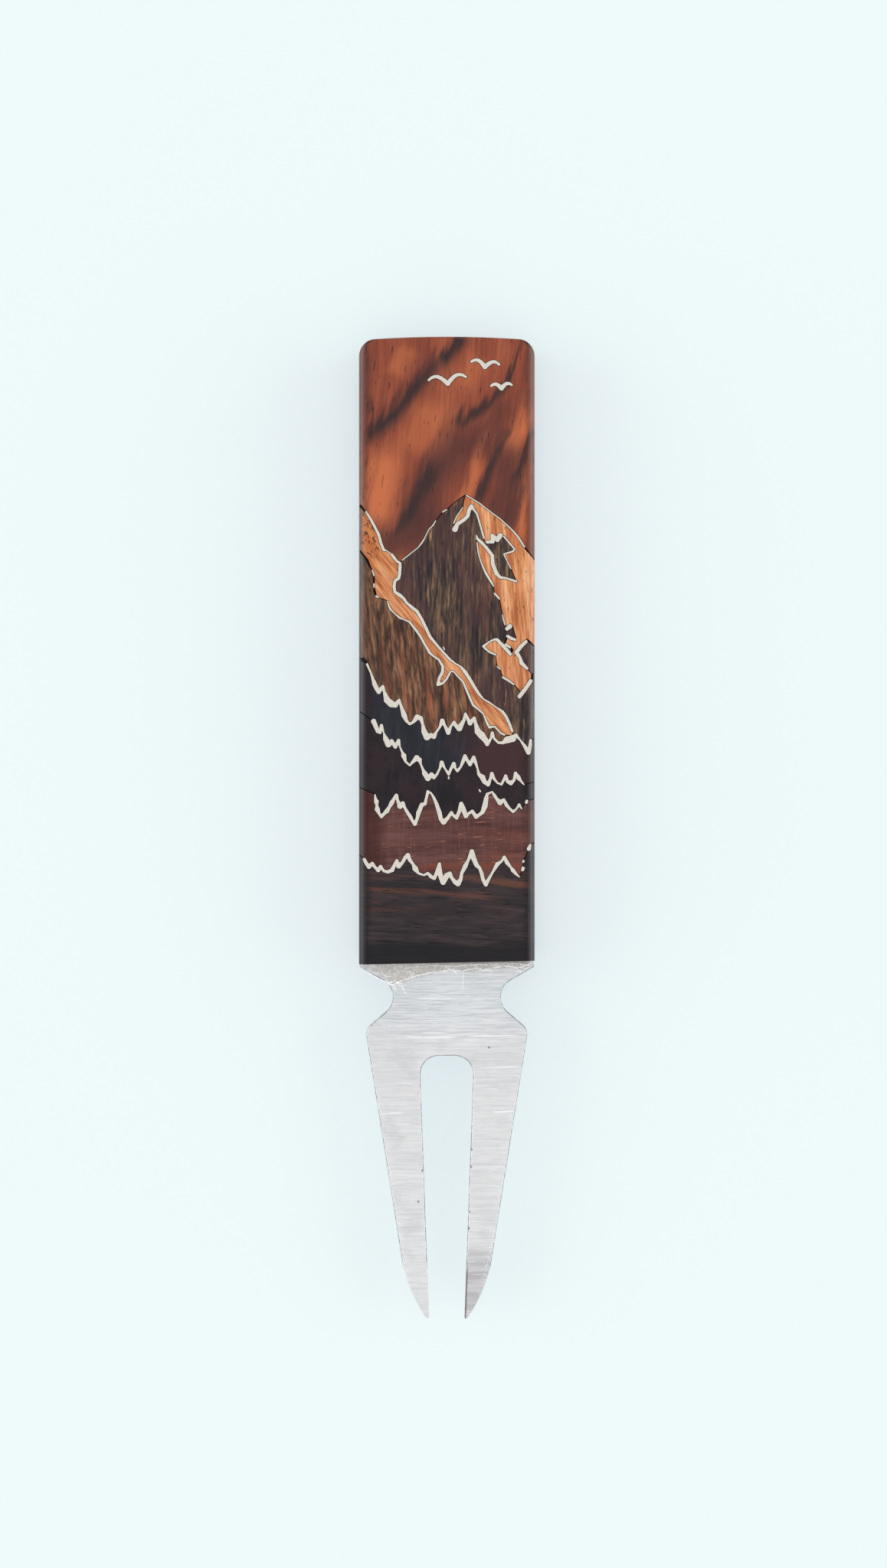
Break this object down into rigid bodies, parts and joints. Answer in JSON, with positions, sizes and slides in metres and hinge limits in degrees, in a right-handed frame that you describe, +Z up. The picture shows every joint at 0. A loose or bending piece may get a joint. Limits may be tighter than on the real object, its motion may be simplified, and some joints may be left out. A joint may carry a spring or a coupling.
{
  "type": "divot repair tool",
  "caption": "Flat two-pronged golf divot repair tool with a steel fork and a full-tang wooden handle inlaid with a mountain landscape.",
  "frame": {"origin": "centre of the bounding box, on the plane that the back of the handle rests on", "axes": "+Z up through the picture face, +Y towards the butt of the handle, +X to the right of the picture"},
  "size_m": [0.019, 0.1066, 0.008],
  "materials": {
    "steel": "brushed across, sharp bright edges",
    "back_wood": "oiled, satin",
    "board_wood": "oiled, satin",
    "sky_wood": "orange-red tropical wood with dark diagonal streaks, oiled",
    "light_wood": "orange-tan wood with fine pores, oiled",
    "mountain_wood": "dark brown wood with fine upright streaks, oiled",
    "foothill_wood": "olive-brown wood with fine slanted streaks, oiled",
    "upper_forest_wood": "near-black wood, oiled",
    "middle_forest_wood": "near-black purple-brown wood with open pores, oiled",
    "lower_forest_wood": "red-brown wood, oiled",
    "foreground_wood": "dark brown wood with grain across, oiled",
    "white_filler": "off-white granular resin filler",
    "glue": "clear amber glue line",
    "dried_glue": "thin whitish dried glue film"
  },
  "bodies": {
    "root": {"fork": "steel", "back_scale": "back_wood", "backing_board": "board_wood", "back_glue_film": "glue", "front_glue_film": "glue", "picture_glue_film": "glue", "glue_plugs": "glue", "glue_squeeze_out": "dried_glue", "sky_panel": "sky_wood", "ridge": "light_wood", "mountain": "mountain_wood", "sunlit_face": "light_wood", "outcrop": "mountain_wood", "edge_rock": "mountain_wood", "foothill": "foothill_wood", "upper_forest": "upper_forest_wood", "middle_forest": "middle_forest_wood", "lower_forest": "lower_forest_wood", "foreground": "foreground_wood", "ridge_crest_line": "white_filler", "ridge_foot_line": "white_filler", "skyline_left_line": "white_filler", "skyline_right_line": "white_filler", "summit_edge_line": "white_filler", "summit_stroke": "white_filler", "spur_line": "white_filler", "snow_chips": "white_filler", "patch_top_stroke": "white_filler", "patch_side_line": "white_filler", "patch_foot_stroke": "white_filler", "outcrop_side_stroke": "white_filler", "outcrop_top_stroke": "white_filler", "edge_rock_stroke": "white_filler", "tree_line_1": "white_filler", "tree_line_2": "white_filler", "tree_line_3": "white_filler", "tree_line_4": "white_filler", "gulls": "white_filler"}
  },
  "joints": []
}
